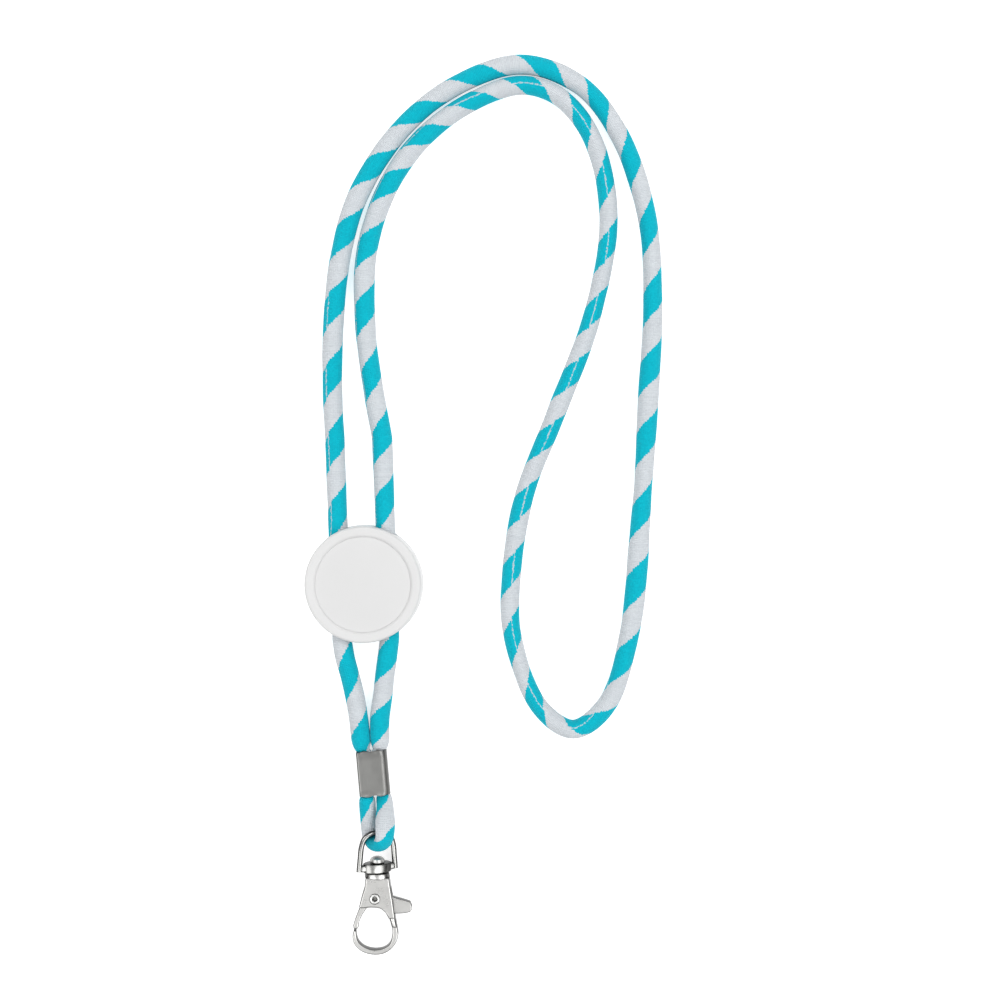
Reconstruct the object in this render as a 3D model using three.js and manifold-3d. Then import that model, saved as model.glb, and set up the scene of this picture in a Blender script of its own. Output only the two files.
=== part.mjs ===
// A round-cord neck lanyard: a printed knitted cord, a sliding round badge, a metal crimp,
// a short ring loop and a swivel hook. Millimetres, +Z up, lying flat on z = 0.
import * as THREE from "three";
import { mergeVertices } from "three/addons/utils/BufferGeometryUtils.js";
import Module from "manifold-3d";

const wasm = await Module();
wasm.setup();

// Cord
const CORD_D = 5.7; // knitted tube, lying uncompressed
const CORD_SIDES = 12;
const CORD_STEPS = 80;
const LOOP_CORD_D = 4.9; // the same tube, drawn tight in the ring loop
const END_GAP = 0.3; // between a cord's end face and the crimp

// Crimp
const CRIMP_WIDTH = 9.3;
const CRIMP_LENGTH = 13.5;
const CRIMP_DEPTH = 5.0;
const CRIMP_SHEET = 0.6;
const CRIMP_BEND = 1.5;
const CRIMP_SEAM = 0.5;
const CRIMP_TURN = 5.1; // degrees about Z
const CRIMP_Z = 2.95;
const TAIL_GAP = 0.3;

// Badge
const BADGE_D = 36.0;
const BADGE_DRAFT = 0.35; // how much the front rim is smaller in radius
const BADGE_EDGE = 0.9; // rounding of the front rim
const PLATE_T = 1.5;
const PLATE_EDGE = 0.4;
const SHELL_GAP = 0.3; // between back plate and front cap
const CAP_WALL = 1.6;
const CAP_FLOOR = 0.8; // plastic left above the cord channels, under the print disc
const RIB_T = 1.2;
const STRAND_GAP = 14.4; // between the two strands' centre lines
const CHANNEL_SIDE = 0.6; // side clearance of a strand in its channel
const CHANNEL_RISE = 0.25; // clearance under and over a strand
const DISC_D = 28.2;
const DISC_T = 0.45;
const DISC_GAP = 0.3;
const RIM_RISE = 0.4; // rim above the print disc
const PEG_D = 2.6;
const PEG_GAP = 0.3;
const PEG_ALONG = 12.0;
const PEG_ASIDE = 13.3;
const BADGE_Y = 47.5;
const BADGE_TURN = Math.atan(0.036) * (180 / Math.PI);
const SLIDE_TRAVEL = 20;
const STRAIGHT_LEAD = 4; // how far the strands stay straight past the badge's travel
const MOUTH_LEAD = 1.5; // how deep in the badge the strands start to lean together

// Ring loop and the clasp's place in it
const LOOP_REACH = [0.81, -11.17, 2.35]; // crimp's lower end to the middle of the bail's top wire
const LOOP_BEND_R = 3.65; // bail wire to the loop's centre line
const LOOP_TWIST = 48; // degrees, loop plane against the table
const CLASP_PITCH = 5.8; // degrees, nose down
const CLASP_TURN = -0.76;
const BAIL_ROLL = 24; // degrees, bail plane against the hook plane

// Bail
const WIRE_D = 1.6;
const BAIL_HALF = 5.5; // centre line of an arm, at the crossbar
const BAIL_LENGTH = 10.7; // top wire to the crossbar's middle
const BAR_HIGH = 2.1;
const BAR_THICK = 3.0;
const BOSS_D = 5.0;
const BOSS_HIGH = 2.7;
const TURN_GAP = 0.3; // between parts that turn on each other

// Swivel pin
const PIN_D = 2.4;
const DOME_D = 4.6;
const DOME_HIGH = 2.2;
const PIN_SEAT = 3.2; // depth of the pin in the hook

// Hook
const COLLAR_D = 7.5;
const COLLAR_HIGH = 1.6;
const HEAD_FLAT = 0.72; // depth of the round head against its width
const BODY_THICK = 4.6;
const RING_THICK = 2.6;
const ARM_THICK = 3.5;
const CAST_EDGE = 0.3; // rounding of the cast edges
const SLOT_HALF = 1.45;
const LEVER_HALF = 1.15;
const PIVOT = [-0.52, -7.69]; // from the collar's top face
const HUB_R = 2.7;
const RIVET_D = 1.9;
const RIVET_HEAD_D = 2.8;
const RIVET_RECESS = 0.5;
const SPRING_WIRE = 0.3;
const SPRING_R = 1.6;
const SPRING_TURNS = 1.6;
const SPRING_PITCH = 0.42;
const SPRING_FLOOR = 0.15; // plane of the lever's spring pocket

const rad = THREE.MathUtils.degToRad;
const V2 = (x, y) => new THREE.Vector2(x, y);
const V3 = (x, y, z) => new THREE.Vector3(x, y, z);

const fabric = new THREE.MeshStandardMaterial({ color: 0x3fb6c6, roughness: 0.9, metalness: 0 });
const abs = new THREE.MeshStandardMaterial({ color: 0xeeeeec, roughness: 0.4, metalness: 0 });
const vinyl = new THREE.MeshStandardMaterial({ color: 0xf2f2f1, roughness: 0.35, metalness: 0 });
const steel = new THREE.MeshStandardMaterial({ color: 0xa9a9a7, roughness: 0.35, metalness: 1 });
const nickel = new THREE.MeshStandardMaterial({ color: 0xd2d1ce, roughness: 0.25, metalness: 1 });
const spring = new THREE.MeshStandardMaterial({ color: 0x8d9094, roughness: 0.3, metalness: 1 });

// Solid modelling helpers
function solid(geometry) {
  const plain = geometry.clone();
  plain.deleteAttribute("normal");
  plain.deleteAttribute("uv");
  const merged = mergeVertices(plain, 1e-4);
  return new wasm.Manifold(
    new wasm.Mesh({
      numProp: 3,
      vertProperties: merged.attributes.position.array,
      triVerts: new Uint32Array(merged.index.array),
    }),
  );
}

function geometryOf(made) {
  const mesh = made.getMesh();
  const points = new Float32Array(mesh.numVert * 3);
  for (let i = 0; i < mesh.numVert; i++) {
    points.set(mesh.vertProperties.subarray(i * mesh.numProp, i * mesh.numProp + 3), i * 3);
  }
  const geometry = new THREE.BufferGeometry();
  geometry.setAttribute("position", new THREE.BufferAttribute(points, 3));
  geometry.setIndex(new THREE.BufferAttribute(new Uint32Array(mesh.triVerts), 1));
  const flat = geometry.toNonIndexed();
  flat.computeVertexNormals();
  return flat;
}

function piece(name, shape, material) {
  const geometry = shape.isBufferGeometry ? shape : geometryOf(shape);
  const mesh = new THREE.Mesh(geometry, material);
  mesh.name = name;
  return mesh;
}

function box(wide, deep, high, x = 0, y = 0, z = 0) {
  return solid(new THREE.BoxGeometry(wide, deep, high).translate(x, y, z));
}

// Upright round bar between two heights.
function bar(radius, low, high, x = 0, y = 0, sides = 40) {
  const geometry = new THREE.CylinderGeometry(radius, radius, high - low, sides);
  return solid(geometry.rotateX(Math.PI / 2).translate(x, y, (low + high) / 2));
}

// Round bar along Y between two places.
function barY(radius, low, high, sides = 32) {
  const geometry = new THREE.CylinderGeometry(radius, radius, high - low, sides);
  return solid(geometry.translate(0, (low + high) / 2, 0));
}

// Profile of [radius, height] pairs turned about Z.
function turned(profile, sides) {
  const points = profile.map(([r, z]) => V2(r, z));
  return solid(new THREE.LatheGeometry(points, sides).rotateX(Math.PI / 2));
}

// Profile of [radius, along] pairs turned about Y.
function turnedY(profile, sides, flat = 1) {
  const points = profile.map(([r, y]) => V2(r, y));
  return solid(new THREE.LatheGeometry(points, sides).scale(1, 1, flat));
}

function tube(points, diameter, steps, sides) {
  const section = new THREE.Shape();
  section.absarc(0, 0, diameter / 2, 0, 2 * Math.PI, false);
  const ring = section.getSpacedPoints(sides).slice(0, sides);
  const path = new THREE.CatmullRomCurve3(points, false, "centripetal");
  path.arcLengthDivisions = 800;
  const settings = { steps, extrudePath: path, curveSegments: 1 };
  return solid(new THREE.ExtrudeGeometry(new THREE.Shape(ring), settings));
}

// Flat plate of a 2-D outline, centred on z = 0, with rounded edges.
function slab(shape, thick, edge, holes = []) {
  holes.forEach((hole) => shape.holes.push(hole));
  const settings = {
    depth: thick - 2 * edge,
    bevelEnabled: edge > 0,
    bevelThickness: edge,
    bevelSize: edge,
    bevelOffset: -edge,
    bevelSegments: 3,
    curveSegments: 6,
  };
  const geometry = new THREE.ExtrudeGeometry(shape, settings);
  return solid(geometry.translate(0, 0, edge - thick / 2));
}

function roundedBox(wide, high, radius) {
  const shape = new THREE.Shape();
  const x = wide / 2;
  const y = high / 2;
  shape.absarc(x - radius, y - radius, radius, 0, Math.PI / 2, false);
  shape.absarc(radius - x, y - radius, radius, Math.PI / 2, Math.PI, false);
  shape.absarc(radius - x, radius - y, radius, Math.PI, Math.PI * 1.5, false);
  shape.absarc(x - radius, radius - y, radius, Math.PI * 1.5, Math.PI * 2, false);
  return shape;
}

// Smooth line through the given points, as a list of points.
function smooth(points, count) {
  const path = points.map(([x, y]) => V3(x, y, 0));
  const curve = new THREE.CatmullRomCurve3(path, false, "centripetal");
  return curve.getSpacedPoints(count).map((p) => V2(p.x, p.y));
}

const lanyard = new THREE.Group();
lanyard.name = "lanyard";

// Badge: back plate on the table, front cap snapped over it, print disc in the cap
const badge = new THREE.Group();
badge.position.set(0, BADGE_Y, 0);
badge.rotation.z = rad(BADGE_TURN);
lanyard.add(badge);

const strandZ = PLATE_T + CHANNEL_RISE + CORD_D / 2;
const channelRoof = PLATE_T + 2 * CHANNEL_RISE + CORD_D;
const channelWide = CORD_D + 2 * CHANNEL_SIDE;
const recessFloor = channelRoof + CAP_FLOOR;
const discLow = recessFloor + DISC_GAP;
const rimTop = discLow + DISC_T + RIM_RISE;
const capLow = PLATE_T + SHELL_GAP;
const baseR = BADGE_D / 2;
const rimR = baseR - BADGE_DRAFT;
const recessR = DISC_D / 2 + DISC_GAP;
const pegs = [
  [0, PEG_ALONG],
  [0, -PEG_ALONG],
  [PEG_ASIDE, 0],
  [-PEG_ASIDE, 0],
];

const rimRounding = [0, 22.5, 45, 67.5, 90].map((a) => [
  rimR - BADGE_EDGE * (1 - Math.cos(rad(a))),
  rimTop - BADGE_EDGE * (1 - Math.sin(rad(a))),
]);
let cap = turned(
  [
    [0, capLow],
    [baseR, capLow],
    ...rimRounding,
    [recessR + 0.5, rimTop],
    [recessR + 0.15, rimTop - 0.15],
    [recessR, rimTop - 0.5],
    [recessR, recessFloor],
    [0, recessFloor],
  ],
  72,
);
for (const side of [-1, 1]) {
  const x = (side * STRAND_GAP) / 2;
  cap = cap.subtract(box(channelWide, BADGE_D + 4, channelRoof * 2, x, 0, 0));
  const inner = STRAND_GAP / 2 + channelWide / 2 + RIB_T;
  const outer = baseR - CAP_WALL;
  const pocket = bar(outer, 0, channelRoof, 0, 0, 64)
    .intersect(box(outer, BADGE_D, 3 * rimTop, side * (inner + outer / 2), 0, 0))
    .subtract(bar(PEG_D / 2 + PEG_GAP + RIB_T, 0, rimTop, side * PEG_ASIDE, 0, 24));
  cap = cap.subtract(pocket);
}
const blockHalf = STRAND_GAP / 2 - channelWide / 2 - RIB_T;
const pocketLong = 2 * (PEG_ALONG - PEG_D / 2 - PEG_GAP - RIB_T);
cap = cap.subtract(box(2 * blockHalf, pocketLong, channelRoof * 2, 0, 0, 0));
for (const [x, y] of pegs) {
  cap = cap.subtract(bar(PEG_D / 2 + PEG_GAP, 0, channelRoof - 0.3, x, y, 24));
}
badge.add(piece("badge_front_cap", cap, abs));

const disc = turned(
  [
    [0, discLow],
    [DISC_D / 2, discLow],
    [DISC_D / 2, discLow + DISC_T - 0.12],
    [DISC_D / 2 - 0.12, discLow + DISC_T],
    [0, discLow + DISC_T],
  ],
  72,
);
badge.add(piece("badge_print_disc", disc, vinyl));

let plate = turned(
  [
    [0, 0],
    [baseR - PLATE_EDGE, 0],
    [baseR - PLATE_EDGE * 0.3, PLATE_EDGE * 0.3],
    [baseR, PLATE_EDGE],
    [baseR, PLATE_T],
    [0, PLATE_T],
  ],
  72,
);
for (const [x, y] of pegs) {
  plate = plate.add(bar(PEG_D / 2, PLATE_T - 0.5, channelRoof - 0.3 - PEG_GAP, x, y, 20));
}
badge.add(piece("badge_back_plate", plate, abs));

// Crimp: sheet metal folded round both strands, its seam on the back
const crimp = new THREE.Group();
const crimpTurn = rad(CRIMP_TURN);
const crimpDown = V3(Math.sin(crimpTurn), -Math.cos(crimpTurn), 0);
const crimpAside = V3(Math.cos(crimpTurn), Math.sin(crimpTurn), 0);
const crimpTop = V3(2.19, -3.33, CRIMP_Z);
crimp.position.copy(crimpTop.clone().addScaledVector(crimpDown, CRIMP_LENGTH / 2));
crimp.rotation.z = crimpTurn;
lanyard.add(crimp);

// Block along Y with rounded long edges.
function longBlock(wide, high, radius, long) {
  const settings = { depth: long, bevelEnabled: false, curveSegments: 5 };
  const geometry = new THREE.ExtrudeGeometry(roundedBox(wide, high, radius), settings);
  return solid(geometry.translate(0, 0, -long / 2).rotateX(Math.PI / 2));
}

const insideWide = CRIMP_WIDTH - 2 * CRIMP_SHEET;
const insideDeep = CRIMP_DEPTH - 2 * CRIMP_SHEET;
const sleeve = longBlock(CRIMP_WIDTH, CRIMP_DEPTH, CRIMP_BEND, CRIMP_LENGTH)
  .subtract(longBlock(insideWide, insideDeep, CRIMP_BEND - CRIMP_SHEET, CRIMP_LENGTH + 2))
  .subtract(box(CRIMP_SEAM, CRIMP_LENGTH + 2, CRIMP_DEPTH, 0, 0, -CRIMP_DEPTH / 2));
crimp.add(piece("crimp", sleeve, steel));

const tailWide = (insideWide - 3 * TAIL_GAP) / 2;
const tailDeep = insideDeep - 2 * TAIL_GAP;
for (const [name, side] of [["cord_tail_left", -1], ["cord_tail_right", 1]]) {
  const tail = longBlock(tailWide, tailDeep, 0.8, CRIMP_LENGTH);
  const mesh = piece(name, tail, fabric);
  mesh.position.x = (side * (tailWide + TAIL_GAP)) / 2;
  crimp.add(mesh);
}

// Neck cord: leaves the crimp, runs straight through the badge, once round and back
function strand(side, y) {
  const along = (y - BADGE_Y) / Math.cos(badge.rotation.z);
  const across = (side * STRAND_GAP) / 2 / Math.cos(badge.rotation.z);
  return V3(across - along * Math.sin(badge.rotation.z), y, strandZ);
}

function crimpEnd(side, from, spacing, gap) {
  return from
    .clone()
    .addScaledVector(crimpAside, (side * spacing) / 2)
    .addScaledVector(crimpDown, gap);
}

const lieZ = CORD_D / 2 + 0.2;
const badgeLow = BADGE_Y - BADGE_D / 2;
const lean = badgeLow / 29.5;
const straightHigh = BADGE_Y + BADGE_D / 2 + SLIDE_TRAVEL + STRAIGHT_LEAD;
const neckRoute = [
  crimpEnd(-1, crimpTop, CORD_D + 0.1, -END_GAP),
  V3(-1.7, 6.5, lieZ),
  V3(-2.9, 13.6 * lean, lieZ + 0.15),
  V3(-4.3, 19.7 * lean, lieZ + 0.65),
  V3(-5.75, 25.3 * lean, strandZ - 0.25),
  strand(-1, badgeLow + MOUTH_LEAD),
  strand(-1, badgeLow + 2 * MOUTH_LEAD),
  strand(-1, straightHigh),
  strand(-1, straightHigh + 2),
  V3(-9.6, 105, lieZ),
  V3(-9.4, 126, lieZ),
  V3(-7.1, 147.8, lieZ),
  V3(-1.7, 166.2, lieZ),
  V3(11.0, 185.7, lieZ),
  V3(27.0, 198.8, lieZ),
  V3(47.7, 205.8, lieZ),
  V3(65.7, 199.6, lieZ),
  V3(77.7, 184.6, lieZ),
  V3(86.1, 160, lieZ),
  V3(88.0, 134, lieZ),
  V3(86.6, 103.6, lieZ),
  V3(84.4, 68.5, lieZ),
  V3(80.8, 31.9, lieZ),
  V3(73.8, 10.5, lieZ),
  V3(63.8, 3.2, lieZ),
  V3(53.6, 9.9, lieZ),
  V3(45.2, 31.9, lieZ),
  V3(44.9, 50.2, lieZ),
  V3(48.9, 74.6, lieZ),
  V3(58.3, 99, lieZ),
  V3(69.6, 129.5, lieZ),
  V3(74.5, 160, lieZ),
  V3(69.2, 184, lieZ),
  V3(59.1, 196.2, lieZ),
  V3(47.8, 199.5, lieZ),
  V3(32.8, 194.5, lieZ),
  V3(18.4, 184, lieZ),
  V3(7.7, 169.4, lieZ),
  V3(0.9, 149.3, lieZ),
  V3(0.4, 126, lieZ),
  V3(3.1, 105, lieZ),
  strand(1, straightHigh + 2),
  strand(1, straightHigh),
  strand(1, badgeLow + 2 * MOUTH_LEAD),
  strand(1, badgeLow + MOUTH_LEAD),
  V3(7.15, 25.3 * lean, strandZ - 0.25),
  V3(6.35, 19.7 * lean, lieZ + 0.65),
  V3(5.7, 13.6 * lean, lieZ + 0.15),
  V3(4.2 + CORD_D / 10, 6.5, lieZ),
  crimpEnd(1, crimpTop, CORD_D + 0.1, -END_GAP),
];
lanyard.add(piece("neck_cord", tube(neckRoute, CORD_D, CORD_STEPS, CORD_SIDES), fabric));

// Ring loop: a short doubled cord from the crimp round the bail's top wire
const crimpLow = crimpTop.clone().addScaledVector(crimpDown, CRIMP_LENGTH);
const bight = crimpLow.clone().add(V3(...LOOP_REACH));
const twist = rad(LOOP_TWIST);
const acrossLoop = V3(Math.cos(twist), 0, Math.sin(twist));
const loopRoute = [
  crimpEnd(-1, crimpLow, LOOP_CORD_D + 0.3, END_GAP),
  crimpEnd(-1, crimpLow, LOOP_CORD_D + 0.3, END_GAP + 1.5),
];
for (const angle of [180, 205, 230, 255, 285, 310, 335, 360]) {
  loopRoute.push(
    bight
      .clone()
      .addScaledVector(acrossLoop, LOOP_BEND_R * Math.cos(rad(angle)))
      .add(V3(0, LOOP_BEND_R * Math.sin(rad(angle)), 0)),
  );
}
loopRoute.push(
  crimpEnd(1, crimpLow, LOOP_CORD_D + 0.3, END_GAP + 1.5),
  crimpEnd(1, crimpLow, LOOP_CORD_D + 0.3, END_GAP),
);
lanyard.add(piece("ring_loop_cord", tube(loopRoute, LOOP_CORD_D, 30, CORD_SIDES), fabric));

// Clasp: bail, swivel pin, hook frame, lever, rivet and spring share one pitched frame
const clasp = new THREE.Group();
clasp.position.copy(bight);
clasp.rotation.set(rad(CLASP_PITCH), 0, rad(CLASP_TURN), "ZXY");
lanyard.add(clasp);

const bailPlane = new THREE.Group();
bailPlane.rotation.y = rad(BAIL_ROLL);
clasp.add(bailPlane);

const barTop = -BAIL_LENGTH + BAR_HIGH / 2;
const bossTop = -BAIL_LENGTH + BOSS_HIGH / 2;
const bossLow = -BAIL_LENGTH - BOSS_HIGH / 2;
const archRoute = [
  [-BAIL_HALF, -BAIL_LENGTH],
  [-BAIL_HALF * 0.98, -BAIL_LENGTH * 0.7],
  [-BAIL_HALF * 0.93, -4.0],
  [-BAIL_HALF * 0.76, -1.6],
  [-BAIL_HALF * 0.42, -0.35],
  [0, 0],
  [BAIL_HALF * 0.42, -0.35],
  [BAIL_HALF * 0.76, -1.6],
  [BAIL_HALF * 0.93, -4.0],
  [BAIL_HALF * 0.98, -BAIL_LENGTH * 0.7],
  [BAIL_HALF, -BAIL_LENGTH],
].map(([x, y]) => V3(x, y, 0));
let bail = tube(archRoute, WIRE_D, 36, 12);
const barShape = roundedBox(2 * BAIL_HALF + WIRE_D, BAR_HIGH, 0.8);
bail = bail.add(slab(barShape, BAR_THICK * 0.8, 0.5).translate([0, -BAIL_LENGTH, 0]));
bail = bail.add(barY(BOSS_D / 2, bossLow, bossTop, 40));
bail = bail.subtract(barY(PIN_D / 2 + TURN_GAP, bossLow - 1, bossTop + 1, 32));
bailPlane.add(piece("bail", bail, nickel));

const collarAt = bossLow - TURN_GAP;
const headLow = -COLLAR_HIGH;
const domeLow = bossTop + TURN_GAP;
const pinLow = collarAt - PIN_SEAT + TURN_GAP;
const dome = [0, 15, 30, 45, 60, 75].map((a) => [
  (DOME_D / 2) * Math.cos(rad(a)),
  domeLow + 0.4 + (DOME_HIGH - 0.4) * Math.sin(rad(a)),
]);
const pin = turnedY(
  [[0, pinLow], [PIN_D / 2, pinLow], [PIN_D / 2, domeLow], [DOME_D / 2, domeLow], ...dome,
    [0, domeLow + DOME_HIGH]],
  32,
);
clasp.add(piece("swivel_pin", pin, nickel));

// Hook frame, drawn in the clasp's plane with y = 0 at the collar's top face: head, slotted
// body and open ring
const hook = new THREE.Group();
hook.position.y = collarAt;
clasp.add(hook);

const leftEdge = smooth([[-3.4, headLow + 0.4], [-3.7, -4.15], [-4.5, -6.95], [-5.3, -10.25]], 10);
const eyeTop = smooth([[-5.1, -10.6], [-4.2, -10.7], [-1.9, -10.45], [1.2, -10.75], [2.8, -12.05]], 12);
const eyeSide = smooth([[2.8, -12.05], [4.0, -14.45], [4.75, -17.15], [4.8, -19.25], [4.1, -21.85],
  [2.5, -23.35], [-0.3, -23.95], [-3.3, -23.35], [-5.2, -21.85], [-6.05, -19.85], [-6.2, -18]], 34);
const outside = smooth([[-6.9, -17.8], [-7.3, -20.05], [-6.6, -22.55], [-4.3, -24.6], [-0.6, -25.5],
  [2.8, -24.85], [5.5, -22.45], [6.6, -19.45], [6.3, -16.85], [5.5, -12.85]], 34);
const rightEdge = smooth([[5.5, -12.85], [4.9, -8.45], [4.25, -4.65], [3.75, headLow + 0.4]], 10);

function outline(...runs) {
  return new THREE.Shape(runs.flatMap((run, i) => (i ? run.slice(1) : run)));
}

const bodyShape = outline(leftEdge, [null, ...eyeTop], [null, V2(3.75, -13.85), V2(5.65, -13.85)],
  rightEdge);
const armShape = outline(
  [V2(1.6, -10.65), V2(2.8, -12.05), V2(4.0, -14.45), V2(4.72, -16.95)],
  [null, V2(6.3, -16.95), V2(5.9, -14.85), V2(5.5, -12.85), V2(5.2, -10.65)],
);
const ringShape = outline(
  [V2(1.6, -10.65)],
  [null, ...eyeSide],
  [null, ...outside],
  [null, V2(5.2, -10.65)],
);
let frame = slab(bodyShape, BODY_THICK, CAST_EDGE)
  .add(slab(armShape, ARM_THICK, CAST_EDGE))
  .add(slab(ringShape, RING_THICK, CAST_EDGE));
const headR = COLLAR_D / 2;
frame = frame.add(
  turnedY(
    [[0, -4.05], [3.3, -4.05], [3.45, headLow], [headR - 0.3, headLow], [headR, headLow + 0.3],
      [headR, -0.35], [headR - 0.35, 0], [0, 0]],
    40,
    HEAD_FLAT,
  ),
);
const slotTop = PIVOT[1] + HUB_R + 0.75;
const slotLow = -12.85;
frame = frame.subtract(
  box(24, slotTop - slotLow, 2 * SLOT_HALF, 0, (slotTop + slotLow) / 2, 0),
);
frame = frame.subtract(barY(PIN_D / 2 + TURN_GAP, -PIN_SEAT, 1, 32));
frame = frame.subtract(bar(RIVET_D / 2 + TURN_GAP, -4, 4, ...PIVOT, 24));
for (const side of [-1, 1]) {
  const deep = (side * BODY_THICK) / 2;
  const low = Math.min(deep - side * RIVET_RECESS, deep + side);
  const recess = bar(RIVET_HEAD_D / 2 + TURN_GAP, low, low + 1 + RIVET_RECESS, ...PIVOT, 32);
  frame = frame.subtract(recess);
}
hook.add(piece("hook_frame", frame, nickel));

// Gate lever: thumb tab, hub and gate in one casting, turning on the rivet
const leverShape = outline(
  smooth([[-7.0, -17.4], [-5.75, -17.4], [-5.3, -15.25], [-4.3, -12.95], [-3.1, -11.05]], 12),
  smooth([[-3.1, -11.05], [-1.4, -10.25], [1.6, -10.15], [3.4, -11.35], [5.3, -12.6]], 12),
  smooth([[5.3, -12.6], [8.2, -12.4], [10.35, -11.85], [10.8, -10.55], [10.2, -8.95]], 12),
  smooth([[10.2, -8.95], [7.6, -8.15], [5.0, -7.45], [2.6, -6.25], [0.6, -5.2]], 10),
  smooth([[0.6, -5.2], [-1.2, -5.1], [-2.9, -6.15], [-3.9, -8.25], [-4.9, -10.15]], 10),
  smooth([[-4.9, -10.15], [-5.6, -11.85], [-6.6, -14.65], [-7.15, -16.55]], 8),
);
let lever = slab(leverShape, 2 * LEVER_HALF, CAST_EDGE);
lever = lever.subtract(bar(RIVET_D / 2 + TURN_GAP, -4, 4, ...PIVOT, 24));
lever = lever.subtract(
  bar(SPRING_R + SPRING_WIRE / 2 + TURN_GAP, SPRING_FLOOR, 4, ...PIVOT, 28),
);
hook.add(piece("gate_lever", lever, nickel));

const headSeat = BODY_THICK / 2 - RIVET_RECESS + TURN_GAP * 0.6;
const headTop = headSeat + 0.5;
const dimple = RIVET_HEAD_D / 2 - 0.5;
const rivet = turned(
  [
    [0, -headTop],
    [RIVET_HEAD_D / 2 - 0.2, -headTop],
    [RIVET_HEAD_D / 2, -headTop + 0.2],
    [RIVET_HEAD_D / 2, -headSeat],
    [RIVET_D / 2, -headSeat],
    [RIVET_D / 2, headSeat],
    [RIVET_HEAD_D / 2, headSeat],
    [RIVET_HEAD_D / 2, headTop - 0.2],
    [RIVET_HEAD_D / 2 - 0.2, headTop],
    [dimple, headTop],
    [dimple - 0.15, headTop - 0.3],
    [0, headTop - 0.3],
  ],
  32,
).translate([PIVOT[0], PIVOT[1], 0]);
hook.add(piece("lever_rivet", rivet, steel));

const coil = [];
const coilSteps = Math.round(SPRING_TURNS * 12);
const coilLow = SPRING_FLOOR + 0.2 + SPRING_WIRE / 2;
for (let i = 0; i <= coilSteps; i++) {
  const turn = (i / 12) * 2 * Math.PI;
  const x = PIVOT[0] + SPRING_R * Math.cos(turn);
  const y = PIVOT[1] + SPRING_R * Math.sin(turn);
  coil.push(V3(x, y, coilLow + (i / 12) * SPRING_PITCH));
}
hook.add(piece("lever_spring", tube(coil, SPRING_WIRE, coilSteps, 8), spring));

export default lanyard;
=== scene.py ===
# A round-cord neck lanyard lying on a pale table: striped knitted cord, sliding badge, metal
# crimp, ring loop and swivel hook. Metres, +Z up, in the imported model's own frame.
import math
import bpy
import bmesh
from mathutils import Matrix, Vector


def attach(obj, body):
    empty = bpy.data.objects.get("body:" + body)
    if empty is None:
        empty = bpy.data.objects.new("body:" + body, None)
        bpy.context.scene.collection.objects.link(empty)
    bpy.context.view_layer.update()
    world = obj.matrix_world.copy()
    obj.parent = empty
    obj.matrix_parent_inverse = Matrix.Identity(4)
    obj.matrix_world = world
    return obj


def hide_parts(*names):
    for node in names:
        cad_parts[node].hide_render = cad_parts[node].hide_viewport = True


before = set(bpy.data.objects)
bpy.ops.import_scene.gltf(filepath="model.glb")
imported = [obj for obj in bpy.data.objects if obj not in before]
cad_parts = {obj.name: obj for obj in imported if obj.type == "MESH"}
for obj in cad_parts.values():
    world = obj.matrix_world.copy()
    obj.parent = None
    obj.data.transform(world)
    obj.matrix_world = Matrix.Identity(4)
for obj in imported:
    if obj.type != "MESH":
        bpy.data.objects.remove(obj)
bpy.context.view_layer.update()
MM = 0.001

# Studio: a pale matt light table, four soft boxes round a dim ceiling so that flat metal stays
# quiet and its edges catch light, and a camera looking straight down at the lanyard.
TABLE_SIDE = 14.0
TABLE_TINT = (0.72, 0.72, 0.72)
TABLE_GLOW = 0.6
CAMERA_AT = (0.04142, 0.07306, 0.57285)
LENS = 67.28
BOX_HIGH = 0.95
BOX_OUT = 0.95
BOX_SIDE = 0.85
BOX_POWER = 6.4
BOX_SHARE = (1.25, 0.95, 0.75, 1.05)
SKY_LOW = 0.12
SKY_HIGH = 0.8

camera_data = bpy.data.cameras.new("camera")
camera_data.lens = LENS
camera_data.sensor_width = 36.0
camera_data.clip_start = 0.01
camera = bpy.data.objects.new("camera", camera_data)
camera.location = CAMERA_AT
bpy.context.collection.objects.link(camera)
bpy.context.scene.camera = camera
bpy.context.scene.view_settings.view_transform = "Standard"

for turn in range(4):
    light_data = bpy.data.lights.new(f"soft_box_{turn}", "AREA")
    light_data.shape = "SQUARE"
    light_data.size = BOX_SIDE
    light_data.energy = BOX_POWER * BOX_SHARE[turn]
    light = bpy.data.objects.new(f"soft_box_{turn}", light_data)
    around = math.radians(90 * turn + 45)
    middle = Vector((CAMERA_AT[0], CAMERA_AT[1], 0.0))
    offset = Vector((math.cos(around), math.sin(around), 0.0)) * BOX_OUT
    light.location = middle + offset + Vector((0, 0, BOX_HIGH))
    light.rotation_euler = (middle - light.location).to_track_quat("-Z", "Y").to_euler()
    light.visible_camera = False
    bpy.context.collection.objects.link(light)


class Signal:
    """A shader socket; arithmetic on it adds Math nodes."""

    def __init__(self, sheet, socket):
        self.sheet, self.socket = sheet, socket

    def math(self, kind, *others):
        inputs = dict(enumerate((self, *others)))
        return self.sheet.node("ShaderNodeMath", {"operation": kind}, inputs)

    def __add__(self, other):
        return self.math("ADD", other)

    def __sub__(self, other):
        return self.math("SUBTRACT", other)

    def __mul__(self, other):
        return self.math("MULTIPLY", other)

    def __truediv__(self, other):
        return self.math("DIVIDE", other)

    def __rsub__(self, other):
        return self.sheet.node("ShaderNodeMath", {"operation": "SUBTRACT"}, {0: other, 1: self})

    def __lt__(self, other):
        return self.math("LESS_THAN", other)

    __radd__ = __add__
    __rmul__ = __mul__


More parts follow.
